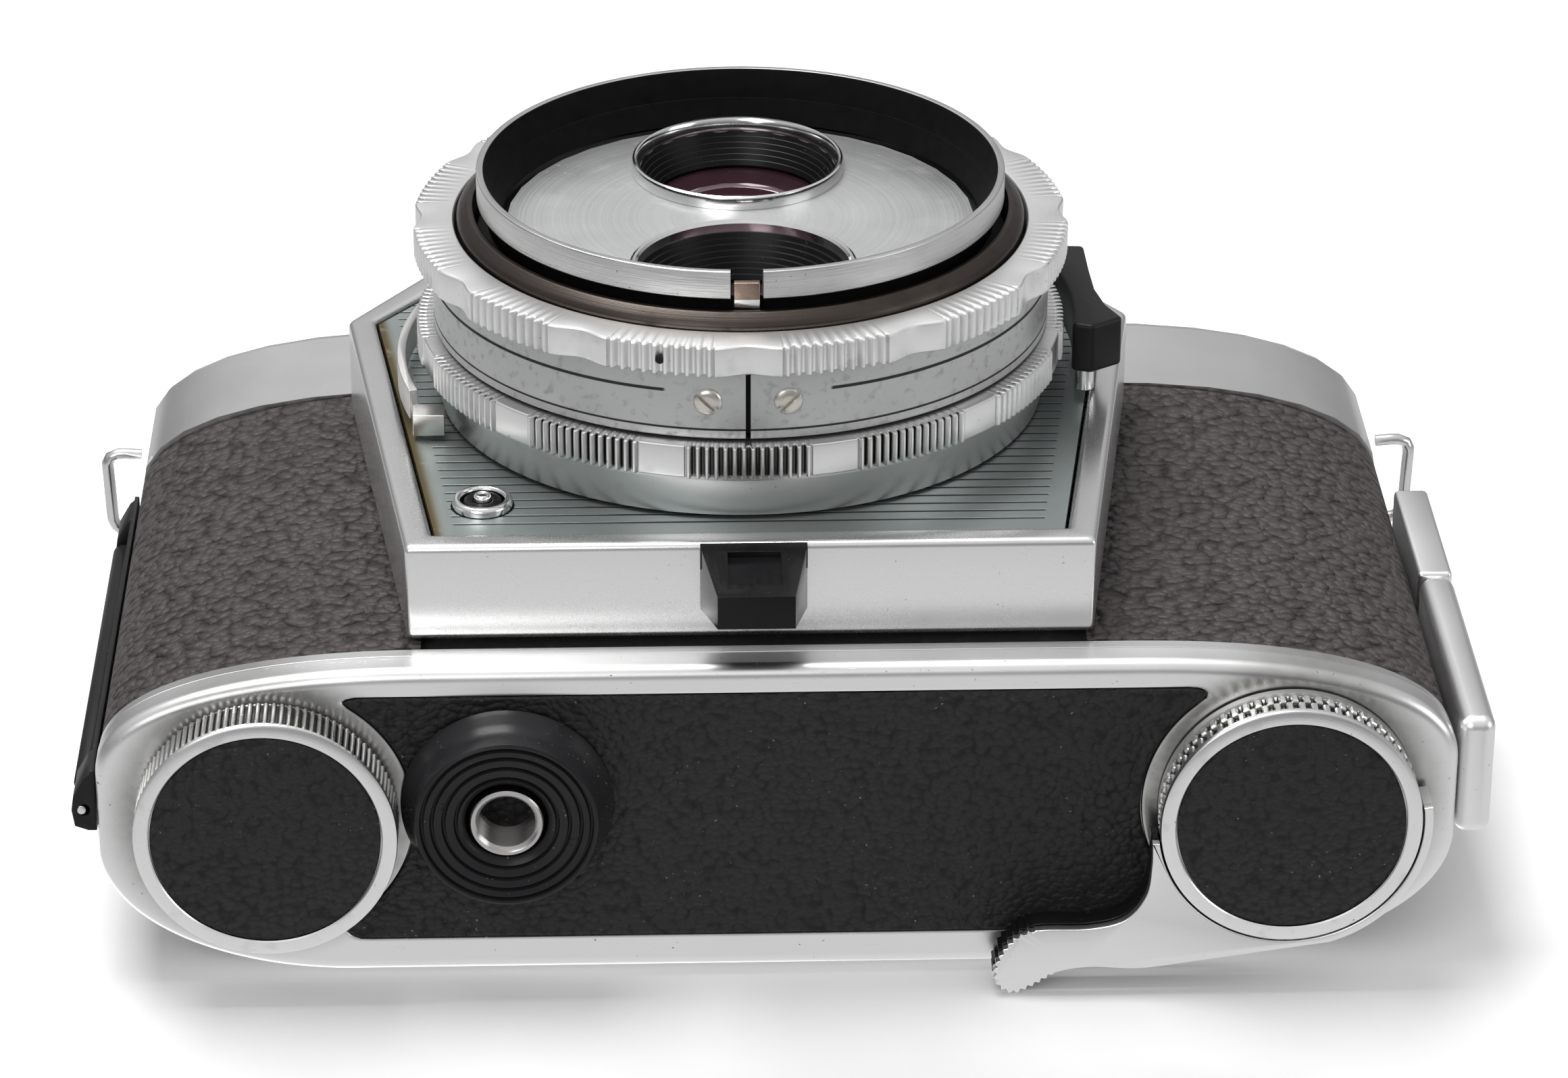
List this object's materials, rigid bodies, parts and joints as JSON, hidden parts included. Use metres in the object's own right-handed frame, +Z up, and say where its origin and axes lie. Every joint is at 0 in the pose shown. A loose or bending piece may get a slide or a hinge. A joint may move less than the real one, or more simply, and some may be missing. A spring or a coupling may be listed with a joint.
{
  "type": "twin-lens 35 mm reflex camera",
  "caption": "Chrome and black leather 35 mm film camera with two lenses one above the other in one focusing mount, base wind lever and rewind knob, and a hinged back.",
  "frame": {"origin": "under the middle of the whole camera, on the surface it stands on", "axes": "+Z up, -Y the way the lenses look, +X towards the wind lever's end"},
  "size_m": [0.144, 0.0694, 0.0875],
  "materials": {
    "satin_chrome": "satin chrome plate with fine pits",
    "bright_chrome": "polished chrome plate",
    "ring_aluminium": "turned and clear anodised",
    "band_grey": "matt grey anodised, speckled with age",
    "bronze": "brown lacquered, turned",
    "striped_plate": "satin grey-green with engraved lines",
    "leatherette": "black-brown pebbled covering",
    "gloss_black": "glossy moulded",
    "matte_black": "matt moulded",
    "black_metal": "matt black enamel",
    "casting_grey": "die-cast, blackened",
    "steel": "nickel plated",
    "coated_glass": "purple-brown anti-reflection coating",
    "clear_glass": "ground on one side",
    "silvered": "front-silvered"
  },
  "bodies": {
    "body": {"body_casting": "casting_grey", "bottom_cover": "satin_chrome", "base_leatherette": "leatherette", "front_leather_left": "leatherette", "front_leather_right": "leatherette", "top_cover": "satin_chrome", "strap_loop_left": "steel", "strap_loop_right": "steel", "front_block": "satin_chrome", "front_plate": "striped_plate", "support_foot": "gloss_black", "helicoid_base": "steel", "flash_socket_ring": "bright_chrome", "flash_socket_insulator": "matte_black", "flash_socket_pin": "bright_chrome", "tripod_boss": "gloss_black", "tripod_bush": "bright_chrome", "mirror_box": "black_metal", "viewing_mirror": "silvered", "ground_glass": "clear_glass", "film_gate": "black_metal", "hinge_leaf": "black_metal", "hinge_pin": "steel", "latch_guide": "satin_chrome"},
    "lens_unit": {"shutter_housing": "black_metal", "clamp_band": "band_grey", "band_screw_left": "steel", "band_screw_right": "steel", "hood_tube": "ring_aluminium", "index_tab": "bright_chrome", "lens_front_plate": "satin_chrome", "viewing_bezel": "bright_chrome", "viewing_lens": "coated_glass", "taking_barrel": "black_metal", "taking_lens": "coated_glass"},
    "focus": {"focus_ring": "ring_aluminium", "focus_skirt": "band_grey"},
    "speed": {"speed_ring": "ring_aluminium"},
    "aperture": {"aperture_ring": "bronze"},
    "release": {"release_lever": "matte_black"},
    "timer": {"timer_lever": "steel"},
    "rewind_slide": {"rewind_sleeve": "steel"},
    "rewind": {"rewind_knob": "ring_aluminium", "rewind_disc": "leatherette", "rewind_shaft": "steel"},
    "wind": {"wind_lever": "satin_chrome", "wind_lever_grip": "gloss_black"},
    "counter": {"counter_knob": "ring_aluminium", "counter_disc": "leatherette"},
    "takeup": {"takeup_spool": "gloss_black"},
    "sprocket": {"sprocket_drum": "steel"},
    "door": {"back_door": "casting_grey", "door_leather": "leatherette", "hinge_barrel": "black_metal", "pressure_spring": "steel"},
    "film_pressure": {"pressure_plate": "black_metal"},
    "latch": {"latch_bar": "satin_chrome"},
    "hood": {"hood_lid": "satin_chrome"},
    "hood_left": {"hood_flap_left": "black_metal"},
    "hood_right": {"hood_flap_right": "black_metal"}
  },
  "joints": [
    {"name": "focus_turn", "type": "hinge", "parent": "body", "child": "focus", "pos_m": [-0.00272, -0.0168, 0.04895], "axis": [0, -1, 0], "range_deg": [0, 240]},
    {"name": "lens_slide", "type": "slide", "parent": "body", "child": "lens_unit", "axis": [0, -1, 0], "range_m": [0, 0.0024]},
    {"name": "speed_turn", "type": "hinge", "parent": "lens_unit", "child": "speed", "pos_m": [-0.00272, -0.0278, 0.04895], "axis": [0, -1, 0], "range_deg": [0, 105]},
    {"name": "aperture_turn", "type": "hinge", "parent": "lens_unit", "child": "aperture", "pos_m": [-0.00272, -0.0286, 0.04895], "axis": [0, -1, 0], "range_deg": [0, 80]},
    {"name": "release_press", "type": "hinge", "parent": "body", "child": "release", "pos_m": [-0.00272, -0.0162, 0.04895], "axis": [0, 1, 0], "range_deg": [0, 12], "stiffness_Nm_per_rad": 0.05, "springref_deg": -11.46},
    {"name": "timer_swing", "type": "hinge", "parent": "body", "child": "timer", "pos_m": [-0.00272, -0.0129, 0.04895], "axis": [0, 1, 0], "range_deg": [0, 35]},
    {"name": "rewind_pull", "type": "slide", "parent": "body", "child": "rewind_slide", "axis": [0, 0, -1], "range_m": [0, 0.008]},
    {"name": "rewind_turn", "type": "hinge", "parent": "rewind_slide", "child": "rewind", "pos_m": [-0.05045, 0.01581, 0.007], "axis": [0, 0, 1], "continuous": true},
    {"name": "wind_swing", "type": "hinge", "parent": "body", "child": "wind", "pos_m": [0.0503, 0.01581, 0.003], "axis": [0, 0, -1], "range_deg": [0, 150], "stiffness_Nm_per_rad": 0.02, "springref_deg": -28.65},
    {"name": "counter_turn", "type": "hinge", "parent": "body", "child": "counter", "pos_m": [0.0503, 0.01581, 0.002], "axis": [0, 0, 1], "continuous": true},
    {"name": "spool_turn", "type": "hinge", "parent": "body", "child": "takeup", "pos_m": [0.0503, 0.01581, 0.035], "axis": [0, 0, 1], "continuous": true},
    {"name": "sprocket_turn", "type": "hinge", "parent": "body", "child": "sprocket", "pos_m": [0.0315, 0.01968, 0.0365], "axis": [0, 0, 1], "continuous": true},
    {"name": "door_swing", "type": "hinge", "parent": "body", "child": "door", "pos_m": [-0.069, 0.01628, 0.04], "axis": [0, 0, 1], "range_deg": [0, 110]},
    {"name": "plate_press", "type": "slide", "parent": "door", "child": "film_pressure", "axis": [0, 1, 0], "range_m": [0, 0.0005], "stiffness_N_per_m": 400, "springref_m": -0.001},
    {"name": "latch_slide", "type": "slide", "parent": "body", "child": "latch", "axis": [0, 0, -1], "range_m": [0, 0.002], "stiffness_N_per_m": 300, "springref_m": -0.002},
    {"name": "hood_lid_swing", "type": "hinge", "parent": "body", "child": "hood", "pos_m": [-0.0027, 0.00208, 0.0873], "axis": [1, 0, 0], "range_deg": [0, 90]},
    {"name": "hood_left_swing", "type": "hinge", "parent": "body", "child": "hood_left", "pos_m": [-0.022, 0.01268, 0.0803], "axis": [0, -1, 0], "range_deg": [0, 91]},
    {"name": "hood_right_swing", "type": "hinge", "parent": "body", "child": "hood_right", "pos_m": [0.0166, 0.01268, 0.0803], "axis": [0, 1, 0], "range_deg": [0, 91]}
  ],
  "couplings": [
    {"joint": "focus_turn", "follows": "lens_slide", "rad_per_m": 1745.3},
    {"joint": "sprocket_turn", "follows": "spool_turn", "ratio": 1.1},
    {"joint": "hood_left_swing", "follows": "hood_lid_swing", "ratio": 1},
    {"joint": "hood_right_swing", "follows": "hood_lid_swing", "ratio": 1}
  ]
}
